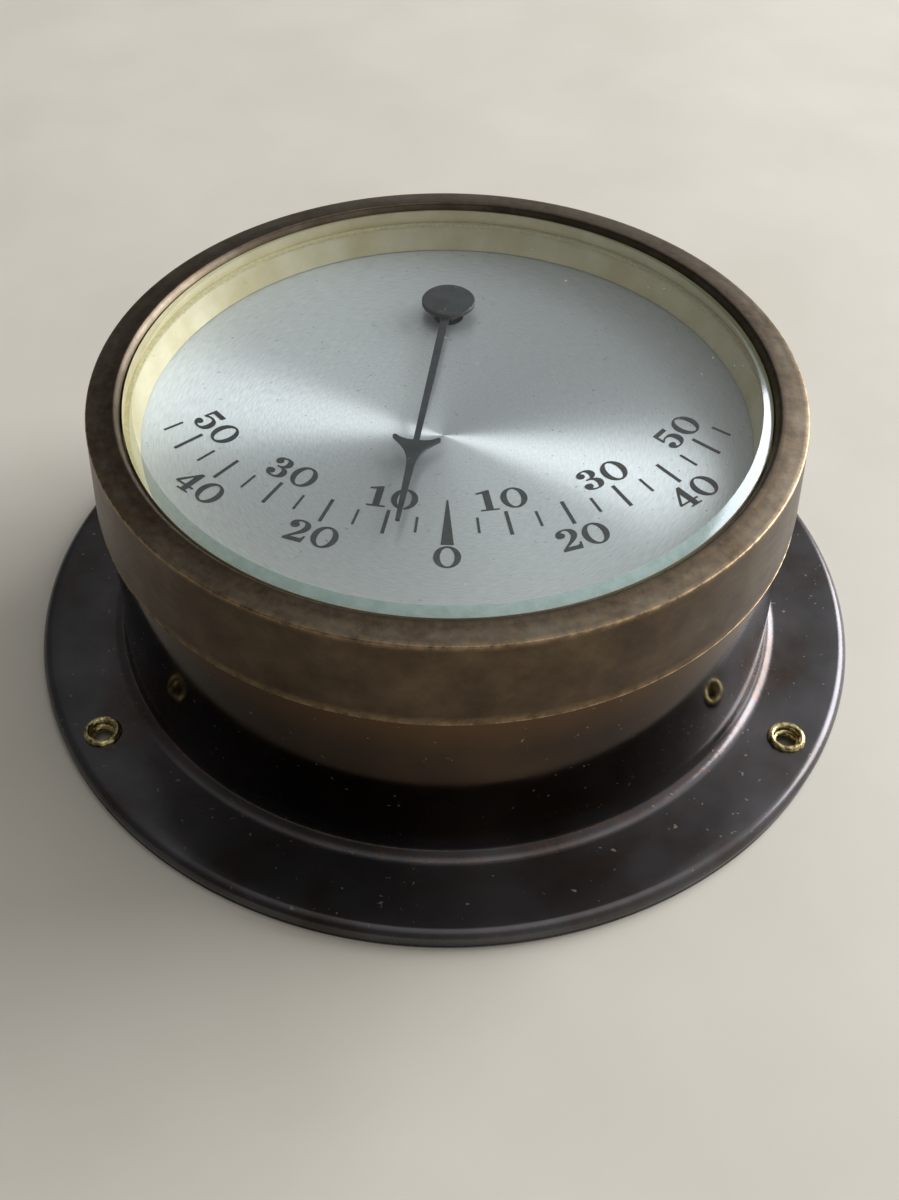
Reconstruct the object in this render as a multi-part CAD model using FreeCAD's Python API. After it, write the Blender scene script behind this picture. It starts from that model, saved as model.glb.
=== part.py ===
import FreeCAD, Part
import math
import os

# Brass bulkhead inclinometer lying on its back, in millimetres.
# Origin: centre of the flange's back plane. +Z comes out through the dial, +Y is the dial's twelve o'clock.
V = FreeCAD.Vector

# Flange and wall of the case, one spun sheet
FLANGE_WIDTH = 14.5
FLANGE_TOP = 3.0
SHEET = 0.9
RIM_ROUND = 1.7
WALL_SPREAD = 1.2
WALL_SHEET = 1.0
FOOT_FILLET = 2.2

# Fixing holes and their eyelets
HOLE_COUNT = 3
HOLE_FROM_WALL = 8.6
EYELET_BORE_R = 2.15
EYELET_WALL = 0.45
EYELET_LIP = 0.5
EYELET_ROLL = 0.75

# Bezel, glass and reflector
BEZEL_DROP = 15.2
BEZEL_FLARE = 0.6
BEZEL_BAND = 1.4
BEZEL_FIT = 0.12
BEZEL_FACE_WIDTH = 4.4
BEZEL_FACE_RISE = 0.75
BEZEL_LIP_WIDTH = 0.8
BEZEL_LIP_DEPTH = 1.1
BEZEL_EDGE_BREAK = 0.3
GLASS_R = 50.0
GLASS_THICK = 3.2
GLASS_TOP = 50.1
GLASS_PROUD = 0.6
GLASS_BEVEL_WIDTH = 1.6
GLASS_BEVEL_DROP = 0.8
GLASS_GAP = 0.3
GASKET_THICK = 0.5
GASKET_WIDTH = 0.8
REFLECTOR_SHEET = 0.6
REFLECTOR_HEIGHT = 4.1
REFLECTOR_SLOPE = 1.35
REFLECTOR_LAP = 0.7

# Dial, its print and its feet
DIAL_THICK = 0.9
DIAL_GAP = 0.4
DIAL_HOLE_R = 2.6
PRINT_HEIGHT = 0.06
PIVOT_Y = 28.0
SCALE_END = 55
SCALE_STEP = 5
SCALE_OVER = 4.6
TICK_SHORT_LENGTH = 3.3
TICK_LONG_LENGTH = 5.1
TICK_SHORT_WIDTH = 0.40
TICK_LONG_WIDTH = 0.55
ZERO_MARK_IN = 5.65
ZERO_MARK_OUT = 4.05
ZERO_MARK_TIP_WIDTH = 0.25
ZERO_MARK_WIDTH = 1.95
DIGIT_HEIGHT = 4.5
DIGIT_STRETCH = 1.22
DIGIT_SPACE = 0.35
ZERO_WIDTH = 90
ZERO_OUT = 6.6
NUMERAL_IN = 5.35
NUMERAL_OUT = 5.45
FOOT_COUNT = 3
FOOT_CIRCLE_R = 40.0
FOOT_R = 1.6
FOOT_THREAD_R = 1.0
FOOT_ANGLE = 90.0
NUT_ACROSS = 4.0
NUT_THICK = 1.6

# Plate that carries the movement, its lugs and screws
PLATE_THICK = 1.5
PLATE_DROP = 2.0
PLATE_GAP = 0.7
LUG_COUNT = 3
LUG_ANGLE = 30.0
LUG_WIDTH = 9.0
LUG_REACH = 9.0
LUG_THICK = 5.0
SCREW_R = 1.25
SCREW_HEAD_R = 2.4
SCREW_HEAD = 1.3
SCREW_LENGTH = 4.5
SLOT_WIDTH = 0.6
SLOT_DEPTH = 0.5

# Bridge and arbor
PILLAR_R = 2.6
PILLAR_LENGTH = 16.0
PILLAR_SPREAD = 14.0
BRIDGE_THICK = 2.0
BRIDGE_WIDTH = 9.0
BUSH_R = 2.4
BUSH_COLLAR_R = 3.4
BUSH_COLLAR = 0.7
ARBOR_R = 1.2
ARBOR_PIVOT_R = 0.8
ARBOR_TIP_R = 0.5
RUN_CLEAR = 0.03
END_PLAY = 0.15

# Pointer and its hub
REST_ANGLE = -7.7
POINTER_LIFT = 2.1
POINTER_THICK = 0.45
POINTER_TIP_OVER = 1.85
POINTER_TIP_W = 0.32
SHAFT_W_HUB = 0.72
SHAFT_W_HEAD = 0.46
HEAD_CROTCH_S = 36.2
BARB_S = 35.3
BARB_W = 3.75
BARB_ROUND = 0.38
HEAD_WAIST_S = 42.5
HEAD_WAIST_W = 0.62
HEAD_CURVE_NEAR = (2.6, 1.75)
HEAD_CURVE_FAR = (3.6, 0.85)
BLADE_EYE_WALL = 0.4
COLLET_R = 2.1
COLLET_BELOW = 1.5
HUB_R = 4.5
HUB_THICK = 0.7
HUB_GAP = 0.12

# Pendulum and its stops
PENDULUM_LENGTH = 38.0
ROD_WIDTH = 3.6
ROD_THICK = 1.6
ROD_CLAMP_R = 4.2
ROD_CLAMP_LENGTH = 7.0
BOB_R = 11.0
BOB_THICK = 9.0
BOB_EDGE = 0.8
BOB_SCREW_HEAD_R = 2.8
BOB_SCREW_HEAD = 1.4
SET_SCREW_R = 0.9
SET_SCREW_LENGTH = 2.6
STOP_ANGLE = 60.0
STOP_PIN_R = 1.1
STOP_CIRCLE_R = 24.0
STOP_CLEAR = 0.25
STOP_TAIL = 1.6

# Cover that closes the back
COVER_THICK = 0.8
COVER_RIM = 6.0
COVER_GAP = 0.12
COVER_BACK_Z = 1.4

# Heights and places that follow from the sizes above
GLASS_BEVEL_R = GLASS_R - GLASS_BEVEL_WIDTH
BEZEL_LIP_R = GLASS_R + GLASS_GAP
BEZEL_FACE_R = BEZEL_LIP_R + BEZEL_LIP_WIDTH
BEZEL_R_TOP = BEZEL_FACE_R + BEZEL_FACE_WIDTH
BEZEL_R_FOOT = BEZEL_R_TOP + BEZEL_FLARE
WALL_R_HEAD = BEZEL_R_TOP - BEZEL_BAND
WALL_R_FOOT = WALL_R_HEAD + WALL_SPREAD
FLANGE_R = WALL_R_FOOT + FLANGE_WIDTH
HOLE_CIRCLE_R = WALL_R_FOOT + HOLE_FROM_WALL
REFLECTOR_R_GLASS = GLASS_R - REFLECTOR_LAP
REFLECTOR_R_DIAL = REFLECTOR_R_GLASS - REFLECTOR_SLOPE
SCALE_R = REFLECTOR_R_DIAL + SCALE_OVER
POINTER_TIP_S = SCALE_R + POINTER_TIP_OVER
BEZEL_EDGE_Z = GLASS_TOP - GLASS_PROUD
BEZEL_FOOT_Z = BEZEL_EDGE_Z - BEZEL_DROP
GLASS_BOTTOM = GLASS_TOP - GLASS_THICK
SEAT_Z = GLASS_BOTTOM - GASKET_THICK
REFLECTOR_UNDER = SEAT_Z - REFLECTOR_SHEET
DIAL_TOP = SEAT_Z - REFLECTOR_HEIGHT
DIAL_BACK = DIAL_TOP - DIAL_THICK
PLATE_TOP = DIAL_BACK - PLATE_DROP
PLATE_BACK = PLATE_TOP - PLATE_THICK
BRIDGE_TOP = PLATE_BACK - PILLAR_LENGTH
BRIDGE_BACK = BRIDGE_TOP - BRIDGE_THICK
POINTER_Z = DIAL_TOP + POINTER_LIFT
POINTER_TOP = POINTER_Z + POINTER_THICK
HUB_Z = POINTER_TOP + HUB_GAP
HUB_TOP = HUB_Z + HUB_THICK
ROD_Z = 0.5 * (PLATE_BACK + BRIDGE_TOP)
HALF_ROD = 0.5 * ROD_THICK
EYELET_OUT_R = EYELET_BORE_R + EYELET_WALL
WALL_HEAD_Z = REFLECTOR_UNDER
UP = V(0, 0, 1)


def wall_radius(z):
    """Outside radius of the case wall at height z: it narrows a little towards the dial."""
    share = (z - FLANGE_TOP) / (WALL_HEAD_Z - FLANGE_TOP)
    return WALL_R_FOOT + share * (WALL_R_HEAD - WALL_R_FOOT)


def polar(radius, degrees, z=0.0, centre=(0.0, 0.0)):
    """Point at an angle from +X about a centre."""
    angle = math.radians(degrees)
    return V(centre[0] + radius * math.cos(angle), centre[1] + radius * math.sin(angle), z)


def outline(segments):
    """Wire through segments: two points make a line, three make an arc."""
    edges = []
    for points in segments:
        if len(points) == 2:
            edges.append(Part.LineSegment(points[0], points[1]).toShape())
        else:
            edges.append(Part.Arc(points[0], points[1], points[2]).toShape())
    return Part.Wire(edges)


def turned(points):
    """Ring made by turning a closed profile of (radius, z) corners about the case axis.
    A corner given as (radius, z, round) gets that rounding."""
    corners = [V(p[0], 0, p[1]) for p in points]
    rounds = [p[2] if len(p) > 2 else 0.0 for p in points]
    count = len(corners)
    ends = []
    for i in range(count):
        here, before, after = corners[i], corners[i - 1], corners[(i + 1) % count]
        if not rounds[i]:
            ends.append((here, here, here))
            continue
        back = (before - here).normalize()
        ahead = (after - here).normalize()
        half = 0.5 * back.getAngle(ahead)
        run = rounds[i] / math.tan(half)
        middle = (back + ahead).normalize()
        centre = here + middle * (rounds[i] / math.sin(half))
        ends.append((here + back * run, centre - middle * rounds[i], here + ahead * run))
    segments = []
    for i in range(count):
        start, crown, end = ends[i]
        if rounds[i]:
            segments.append((start, crown, end))
        following = ends[(i + 1) % count][0]
        if end.distanceToPoint(following) > 1e-6:
            segments.append((end, following))
    return Part.Face(outline(segments)).revolve(V(0, 0, 0), UP, 360)


def rod(radius, low, high, x=0.0, y=0.0):
    """Round bar along Z."""
    return Part.makeCylinder(radius, high - low, V(x, y, low))


def tube(inner, outer, low, high, x=0.0, y=0.0):
    """Sleeve along Z."""
    return rod(outer, low, high, x, y).cut(rod(inner, low - 1, high + 1, x, y))


def around(count, first):
    """Angles of evenly spaced copies."""
    return [first + 360.0 * i / count for i in range(count)]


def slotted_screw(x, y, face, inward, head_r, head, thread_r, length):
    """Cheese-head screw. Its head sits on the face; inward is +1 when the thread runs up, -1 when down."""
    if inward > 0:
        body = rod(head_r, face - head, face, x, y).fuse(rod(thread_r, face, face + length, x, y))
        slot_z = face - head
    else:
        body = rod(head_r, face, face + head, x, y).fuse(rod(thread_r, face - length, face, x, y))
        slot_z = face + head - SLOT_DEPTH
    slot = Part.makeBox(4 * head_r, SLOT_WIDTH, SLOT_DEPTH, V(x - 2 * head_r, y - 0.5 * SLOT_WIDTH, slot_z))
    return body.cut(slot).removeSplitter()


def hex_nut(x, y, low, high, across, bore):
    """Six-sided nut."""
    corner = across / math.sqrt(3)
    corners = [polar(corner, 60.0 * i, low, (x, y)) for i in range(6)]
    corners.append(corners[0])
    prism = Part.Face(Part.makePolygon(corners)).extrude(V(0, 0, high - low))
    return prism.cut(rod(bore, low - 1, high + 1, x, y))


# The outline of each numeral on a field 100 high, drawn anticlockwise from its foot:
# two numbers make a straight side, six make a curve with its two handles first.
DIGITS = {
    "1": [[(4, 0), (56, 0), (56, 6), (40, 6), (40, 100), (34, 100),
           (2, 90), (2, 84), (20, 86), (20, 6), (4, 6)]],
    "2": [[(5, 0), (60, 0), (64, 30), (58, 30), (57, 22, 54, 17, 46, 17), (22, 17),
           (30, 28, 64, 44, 64, 72), (64, 90, 52, 100, 34, 100), (17, 100, 5, 90, 5, 76),
           (5, 67, 10, 61, 18, 61), (26, 61, 31, 67, 31, 74), (31, 80, 27, 85, 22, 86),
           (25, 91, 29, 94, 33, 94), (42, 94, 46, 86, 46, 74), (46, 50, 22, 30, 5, 8)]],
    "3": [[(5, 24), (5, 10, 17, 0, 35, 0), (54, 0, 66, 11, 66, 28), (66, 42, 57, 51, 44, 53),
           (55, 56, 62, 64, 62, 75), (62, 91, 51, 100, 34, 100), (18, 100, 7, 92, 7, 79),
           (7, 71, 12, 66, 19, 66), (26, 66, 31, 71, 31, 78), (31, 84, 27, 88, 23, 89),
           (26, 93, 30, 94, 33, 94), (41, 94, 44, 87, 44, 75), (44, 63, 40, 56, 30, 56),
           (24, 56), (24, 50), (30, 50), (42, 50, 47, 42, 47, 28), (47, 13, 43, 6, 34, 6),
           (29, 6, 25, 8, 22, 12), (27, 13, 31, 18, 31, 24), (31, 31, 26, 36, 18, 36),
           (10, 36, 5, 31, 5, 24)]],
    "4": [[(2, 23), (36, 23), (36, 6), (25, 6), (25, 0), (64, 0), (64, 6), (54, 6), (54, 23),
           (67, 23), (67, 30), (54, 30), (54, 100), (44, 100), (2, 31)],
          [(11, 30), (36, 30), (36, 74)]],
    "5": [[(8, 52), (14, 51), (19, 57, 24, 60, 32, 60), (42, 60, 47, 52, 47, 34), (47, 15, 42, 6, 32, 6),
           (28, 6, 24, 8, 21, 13), (26, 14, 30, 18, 30, 24), (30, 30, 25, 35, 18, 35),
           (10, 35, 5, 30, 5, 22), (5, 9, 16, 0, 33, 0), (53, 0, 66, 13, 66, 34),
           (66, 55, 54, 67, 36, 67), (28, 67, 21, 65, 15, 60), (17, 83), (57, 83), (59, 100), (11, 100)]],
}
DIGIT_FIELD = 100.0
DIGIT_WIDTHS = {"1": 60, "2": 69, "3": 71, "4": 70, "5": 71}
ZERO_COUNTER = (0.53, 0.87)


def digit_face(name):
    """Flat numeral in its own field, foot on the X axis."""
    faces = []
    for loop in DIGITS[name]:
        edges = []
        at = V(loop[0][0] * DIGIT_STRETCH, loop[0][1], 0)
        for step in loop[1:] + [loop[0][:2]]:
            pairs = [V(step[i] * DIGIT_STRETCH, step[i + 1], 0) for i in range(0, len(step), 2)]
            if pairs[-1].distanceToPoint(at) < 1e-6:
                continue
            if len(pairs) == 1:
                edges.append(Part.LineSegment(at, pairs[0]).toShape())
            else:
                curve = Part.BezierCurve()
                curve.setPoles([at] + pairs)
                edges.append(curve.toShape())
            at = pairs[-1]
        faces.append(Part.Face(Part.Wire(edges)))
    result = faces[0]
    for hole in faces[1:]:
        result = result.cut(hole)
    return result


def oval_face(centre, half_w, half_h):
    """Flat oval, upright or lying."""
    side = centre + V(half_w, 0, 0)
    top = centre + V(0, half_h, 0)
    far, near = (side, top) if half_w > half_h else (top, side)
    return Part.Face(Part.Wire(Part.Ellipse(far, near, centre).toShape()))


def zero_face():
    """The numeral 0: an oval with a narrower oval cut out of it."""
    half_w, half_h = 0.5 * ZERO_WIDTH, 0.5 * DIGIT_FIELD
    centre = V(half_w, half_h, 0)
    hole = oval_face(centre, half_w * ZERO_COUNTER[0], half_h * ZERO_COUNTER[1])
    return oval_face(centre, half_w, half_h).cut(hole)


def numeral(text, radius, degrees):
    """Printed number centred at a radius and an angle from straight down, its head to the pivot."""
    scale = DIGIT_HEIGHT / DIGIT_FIELD
    space = DIGIT_SPACE / scale
    faces = []
    width = 0.0
    for mark in text:
        face = zero_face() if mark == "0" else digit_face(mark)
        face.translate(V(width, 0, 0))
        faces.append(face)
        width += (ZERO_WIDTH if mark == "0" else DIGIT_WIDTHS[mark] * DIGIT_STRETCH) + space
    width -= space
    solids = []
    for face in faces:
        face.translate(V(-0.5 * width, -0.5 * DIGIT_FIELD, 0))
        face = face.scaled(scale, V(0, 0, 0))
        face.rotate(V(0, 0, 0), UP, degrees)
        face.translate(polar(radius, degrees - 90.0, DIAL_TOP, (0.0, PIVOT_Y)))
        for piece in face.Faces:
            solids.append(piece.extrude(V(0, 0, PRINT_HEIGHT)))
    return solids


def case_shell():
    """Spun case: curled rim, flat flange, rounded foot and a wall that narrows towards the dial."""
    foot = wall_radius(FLANGE_TOP)
    head = wall_radius(WALL_HEAD_Z)
    inner_round = max(RIM_ROUND - SHEET, 0.2)
    profile = [
        (FLANGE_R, 0), (FLANGE_R, FLANGE_TOP, RIM_ROUND), (foot, FLANGE_TOP, FOOT_FILLET),
        (head, WALL_HEAD_Z), (head - WALL_SHEET, WALL_HEAD_Z),
        (foot - WALL_SHEET, FLANGE_TOP - SHEET), (FLANGE_R - SHEET, FLANGE_TOP - SHEET, inner_round),
        (FLANGE_R - SHEET, 0),
    ]
    shell = turned(profile)
    for angle in around(HOLE_COUNT, 90.0):
        at = polar(HOLE_CIRCLE_R, angle)
        shell = shell.cut(rod(EYELET_OUT_R, -1, FLANGE_TOP + 1, at.x, at.y))
    return shell


def eyelet(x, y):
    """Hollow rivet rolled over both faces of the flange."""
    low = FLANGE_TOP - SHEET
    lip_r = EYELET_OUT_R + EYELET_LIP
    barrel = tube(EYELET_BORE_R, EYELET_OUT_R, low, FLANGE_TOP, x, y)
    upper = tube(EYELET_BORE_R, lip_r, FLANGE_TOP, FLANGE_TOP + EYELET_ROLL, x, y)
    lower = tube(EYELET_BORE_R, lip_r, low - EYELET_ROLL, low, x, y)
    soft = 0.3 * EYELET_ROLL
    top_edges = [e for e in upper.Edges if e.BoundBox.ZMin > FLANGE_TOP + 0.9 * EYELET_ROLL]
    low_edges = [e for e in lower.Edges if e.BoundBox.ZMax < low - 0.9 * EYELET_ROLL]
    outer_top = [e for e in top_edges if e.BoundBox.XLength > lip_r * 1.9]
    outer_low = [e for e in low_edges if e.BoundBox.XLength > lip_r * 1.9]
    upper = upper.makeFillet(soft, outer_top)
    lower = lower.makeFillet(soft, outer_low)
    return barrel.fuse([upper, lower]).removeSplitter()


def bezel_ring():
    """Bezel: slightly flared band, face rising to the lip, and a seat that presses on the reflector."""
    bore = wall_radius(BEZEL_FOOT_Z) + BEZEL_FIT
    face_z = BEZEL_EDGE_Z + BEZEL_FACE_RISE
    return turned([
        (BEZEL_R_FOOT, BEZEL_FOOT_Z), (BEZEL_R_TOP, BEZEL_EDGE_Z, BEZEL_EDGE_BREAK),
        (BEZEL_FACE_R, face_z, BEZEL_EDGE_BREAK), (BEZEL_LIP_R, face_z - BEZEL_LIP_DEPTH),
        (BEZEL_LIP_R, SEAT_Z), (bore, SEAT_Z), (bore, BEZEL_FOOT_Z),
    ])


def glass():
    """Thick flat glass with a ground bevel."""
    return turned([
        (0, GLASS_BOTTOM), (GLASS_R, GLASS_BOTTOM), (GLASS_R, GLASS_TOP - GLASS_BEVEL_DROP),
        (GLASS_BEVEL_R, GLASS_TOP), (0, GLASS_TOP),
    ])


def glass_gasket():
    """Flat ring that beds the glass on the reflector."""
    return tube(GLASS_R - GASKET_WIDTH, GLASS_R, SEAT_Z, GLASS_BOTTOM)


def reflector_ring():
    """Gilt funnel between dial and glass, with a flange clamped under the bezel."""
    outer_top = REFLECTOR_R_GLASS + REFLECTOR_SHEET
    outer_low = REFLECTOR_R_DIAL + REFLECTOR_SHEET
    rest_r = wall_radius(WALL_HEAD_Z)
    return turned([
        (REFLECTOR_R_DIAL, DIAL_TOP), (outer_low, DIAL_TOP), (outer_top, REFLECTOR_UNDER),
        (rest_r, REFLECTOR_UNDER), (rest_r, SEAT_Z), (REFLECTOR_R_GLASS, SEAT_Z),
    ])


def dial_radius():
    return wall_radius(DIAL_BACK) - WALL_SHEET - DIAL_GAP


def dial_plate():
    """Brushed dial with a hole for the arbor."""
    plate = rod(dial_radius(), DIAL_BACK, DIAL_TOP)
    return plate.cut(rod(DIAL_HOLE_R, DIAL_BACK - 1, DIAL_TOP + 1, 0, PIVOT_Y))


def scale_ticks():
    """Printed marks every five degrees, longer at the tens, none at zero."""
    marks = []
    for step in range(-SCALE_END, SCALE_END + 1, SCALE_STEP):
        if step == 0:
            continue
        long_mark = step % (2 * SCALE_STEP) == 0
        length = TICK_LONG_LENGTH if long_mark else TICK_SHORT_LENGTH
        width = TICK_LONG_WIDTH if long_mark else TICK_SHORT_WIDTH
        mark = Part.makeBox(width, length, PRINT_HEIGHT, V(-0.5 * width, -SCALE_R - 0.5 * length, 0))
        mark.rotate(V(0, 0, 0), UP, step)
        mark.translate(V(0, PIVOT_Y, DIAL_TOP))
        marks.append(mark)
    return Part.makeCompound(marks)


def zero_mark():
    """Printed wedge that points from zero to the pivot."""
    tip, half = 0.5 * ZERO_MARK_TIP_WIDTH, 0.5 * ZERO_MARK_WIDTH
    near = PIVOT_Y - SCALE_R + ZERO_MARK_IN
    far = PIVOT_Y - SCALE_R - ZERO_MARK_OUT
    corners = [(-tip, near), (-half, far), (half, far), (tip, near), (-tip, near)]
    edge = Part.makePolygon([V(x, y, DIAL_TOP) for x, y in corners])
    return Part.Face(edge).extrude(V(0, 0, PRINT_HEIGHT))


def scale_numerals():
    """Printed numbers: tens alternate inside and outside the arc of marks."""
    solids = numeral("0", SCALE_R + ZERO_OUT, 0.0)
    for tens in range(1, 6):
        radius = SCALE_R - NUMERAL_IN if tens % 2 else SCALE_R + NUMERAL_OUT
        for side in (-1, 1):
            solids += numeral(str(10 * tens), radius, side * 10.0 * tens)
    return Part.makeCompound(solids)


def dial_foot(x, y):
    """Stepped post on the dial's back: a shoulder on the plate and a thread through it."""
    return rod(FOOT_R, PLATE_TOP, DIAL_BACK, x, y).fuse(
        rod(FOOT_THREAD_R, PLATE_BACK - NUT_THICK, PLATE_TOP, x, y)).removeSplitter()


def lug_radius():
    """Place of a lug's screw, halfway along the lug."""
    return wall_radius(PLATE_BACK) - WALL_SHEET - 0.5 * LUG_REACH


def plate_holes():
    """Every hole through the movement plate: (x, y, radius)."""
    holes = []
    for angle in around(FOOT_COUNT, FOOT_ANGLE):
        at = polar(FOOT_CIRCLE_R, angle)
        holes.append((at.x, at.y, FOOT_THREAD_R + RUN_CLEAR))
    for angle in around(LUG_COUNT, LUG_ANGLE):
        at = polar(lug_radius(), angle)
        holes.append((at.x, at.y, SCREW_R + RUN_CLEAR))
    for side in (-1, 1):
        holes.append((side * PILLAR_SPREAD, PIVOT_Y, SCREW_R + RUN_CLEAR))
    holes.append((0, PIVOT_Y, BUSH_R))
    for x, y in stop_places():
        holes.append((x, y, STOP_PIN_R))
    return holes


def movement_plate():
    """Round plate behind the dial that carries the arbor, pillars and stops."""
    radius = wall_radius(PLATE_TOP) - WALL_SHEET - PLATE_GAP
    plate = rod(radius, PLATE_BACK, PLATE_TOP)
    for x, y, hole_r in plate_holes():
        plate = plate.cut(rod(hole_r, PLATE_BACK - 1, PLATE_TOP + 1, x, y))
    return plate


def case_lug(angle):
    """Block soldered inside the wall, tapped for a plate screw."""
    outer = wall_radius(PLATE_BACK) - WALL_SHEET
    low = PLATE_BACK - LUG_THICK
    block = Part.makeBox(2 * LUG_REACH, LUG_WIDTH, LUG_THICK, V(outer - LUG_REACH, -0.5 * LUG_WIDTH, low))
    block = block.common(rod(outer, low - 1, PLATE_BACK + 1))
    block = block.cut(rod(SCREW_R, low - 1, PLATE_BACK + 1, lug_radius(), 0))
    block.rotate(V(0, 0, 0), UP, angle)
    return block


def bush(low, high, collar_above, bore):
    """Flanged bearing sleeve pressed into a plate."""
    sleeve = tube(bore, BUSH_R, low, high, 0, PIVOT_Y)
    if collar_above:
        collar = tube(bore, BUSH_COLLAR_R, high, high + BUSH_COLLAR, 0, PIVOT_Y)
    else:
        collar = tube(bore, BUSH_COLLAR_R, low - BUSH_COLLAR, low, 0, PIVOT_Y)
    return sleeve.fuse(collar).removeSplitter()


def rear_bridge():
    """Round-ended bar on two pillars that holds the arbor's rear bearing."""
    half = 0.5 * BRIDGE_WIDTH
    corner = V(-PILLAR_SPREAD, PIVOT_Y - half, BRIDGE_BACK)
    bar = Part.makeBox(2 * PILLAR_SPREAD, BRIDGE_WIDTH, BRIDGE_THICK, corner)
    for side in (-1, 1):
        bar = bar.fuse(rod(half, BRIDGE_BACK, BRIDGE_TOP, side * PILLAR_SPREAD, PIVOT_Y))
    bar = bar.removeSplitter().cut(rod(BUSH_R, BRIDGE_BACK - 1, BRIDGE_TOP + 1, 0, PIVOT_Y))
    for side in (-1, 1):
        x = side * PILLAR_SPREAD
        bar = bar.cut(rod(SCREW_R + RUN_CLEAR, BRIDGE_BACK - 1, BRIDGE_TOP + 1, x, PIVOT_Y))
    return bar


def bridge_pillar(x):
    """Pillar tapped at both ends."""
    pillar = rod(PILLAR_R, BRIDGE_TOP, PLATE_BACK, x, PIVOT_Y)
    depth = SCREW_LENGTH
    pillar = pillar.cut(rod(SCREW_R, BRIDGE_TOP - 1, BRIDGE_TOP + depth - BRIDGE_THICK + 0.5, x, PIVOT_Y))
    return pillar.cut(rod(SCREW_R, PLATE_BACK - depth + PLATE_THICK - 0.5, PLATE_BACK + 1, x, PIVOT_Y))


def arbor():
    """Stepped shaft: rear pivot, body that carries the pendulum, front journal and a fine tip."""
    rear_end = BRIDGE_BACK + END_PLAY
    body_low = BRIDGE_TOP + END_PLAY
    shaft = rod(ARBOR_PIVOT_R, rear_end, body_low, 0, PIVOT_Y)
    shaft = shaft.fuse(rod(ARBOR_R, body_low, HUB_Z, 0, PIVOT_Y))
    return shaft.fuse(rod(ARBOR_TIP_R, HUB_Z, HUB_TOP, 0, PIVOT_Y)).removeSplitter()


def hang(shape):
    """Turn a piece drawn hanging straight down to the resting reading."""
    shape.rotate(V(0, PIVOT_Y, 0), UP, REST_ANGLE)
    return shape


def pointer_blade():
    """Flat hand: tapered shaft, anchor-shaped head with two swept barbs, and a long thin nose."""
    def at(s, w):
        return V(w, PIVOT_Y - s, POINTER_Z)
    side = []
    for sign in (1, -1):
        barb = at(BARB_S + BARB_ROUND, sign * (BARB_W - BARB_ROUND))
        top = barb + V(-0.35 * sign * BARB_ROUND, 0.94 * BARB_ROUND, 0)
        tip = barb + V(0.97 * sign * BARB_ROUND, 0.24 * BARB_ROUND, 0)
        low = barb + V(0.62 * sign * BARB_ROUND, -0.78 * BARB_ROUND, 0)
        crotch = at(HEAD_CROTCH_S, sign * SHAFT_W_HEAD)
        brow = at(0.5 * (HEAD_CROTCH_S + BARB_S) + 0.25, sign * 0.5 * (SHAFT_W_HEAD + BARB_W))
        waist = at(HEAD_WAIST_S, sign * HEAD_WAIST_W)
        swoop = Part.BezierCurve()
        near = at(BARB_S + HEAD_CURVE_NEAR[0], sign * HEAD_CURVE_NEAR[1])
        far = at(BARB_S + HEAD_CURVE_FAR[0], sign * HEAD_CURVE_FAR[1])
        swoop.setPoles([low, near, far, waist])
        run = [
            Part.LineSegment(at(0, sign * SHAFT_W_HUB), crotch).toShape(),
            Part.Arc(crotch, brow, top).toShape(),
            Part.Arc(top, tip, low).toShape(),
            swoop.toShape(),
            Part.LineSegment(waist, at(POINTER_TIP_S, sign * POINTER_TIP_W)).toShape(),
        ]
        side.append(run)
    ends = Part.LineSegment(at(POINTER_TIP_S, POINTER_TIP_W), at(POINTER_TIP_S, -POINTER_TIP_W)).toShape()
    start = Part.LineSegment(at(0, -SHAFT_W_HUB), at(0, SHAFT_W_HUB)).toShape()
    wire = Part.Wire(side[0] + [ends] + side[1][::-1] + [start])
    blade = Part.Face(wire).extrude(V(0, 0, POINTER_THICK))
    blade = blade.fuse(rod(COLLET_R + BLADE_EYE_WALL, POINTER_Z, POINTER_TOP, 0, PIVOT_Y))
    blade = blade.removeSplitter().cut(rod(ARBOR_R, POINTER_Z - 1, POINTER_TOP + 1, 0, PIVOT_Y))
    return hang(blade)


def pointer_collet():
    """Sleeve that grips the arbor under the hand."""
    return tube(ARBOR_R, COLLET_R, POINTER_Z - COLLET_BELOW, POINTER_Z, 0, PIVOT_Y)


def pointer_hub():
    """Blackened disc over the hand."""
    disc = rod(HUB_R, HUB_Z, HUB_TOP, 0, PIVOT_Y)
    rim = [e for e in disc.Edges if e.BoundBox.ZMin > HUB_TOP - 1e-3]
    disc = disc.makeChamfer(0.2 * HUB_THICK, rim)
    skirt = tube(ARBOR_R, COLLET_R, POINTER_TOP, HUB_Z, 0, PIVOT_Y)
    disc = disc.fuse(skirt).removeSplitter()
    return disc.cut(rod(ARBOR_TIP_R, POINTER_TOP - 1, HUB_TOP + 1, 0, PIVOT_Y))


def pendulum_clamp():
    """Round clamp on the arbor, slotted for the rod and tapped for a set screw."""
    half = 0.5 * ROD_CLAMP_LENGTH
    clamp = tube(ARBOR_R, ROD_CLAMP_R, ROD_Z - half, ROD_Z + half, 0, PIVOT_Y)
    corner = V(-0.5 * ROD_WIDTH, PIVOT_Y - rod_start() - ROD_CLAMP_R, ROD_Z - HALF_ROD)
    slot = Part.makeBox(ROD_WIDTH, ROD_CLAMP_R, ROD_THICK, corner)
    clamp = clamp.cut(slot)
    hole = Part.makeCylinder(SET_SCREW_R, 2 * ROD_CLAMP_R, V(0, PIVOT_Y, ROD_Z), V(0, 1, 0))
    return hang(clamp.cut(hole))


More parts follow.
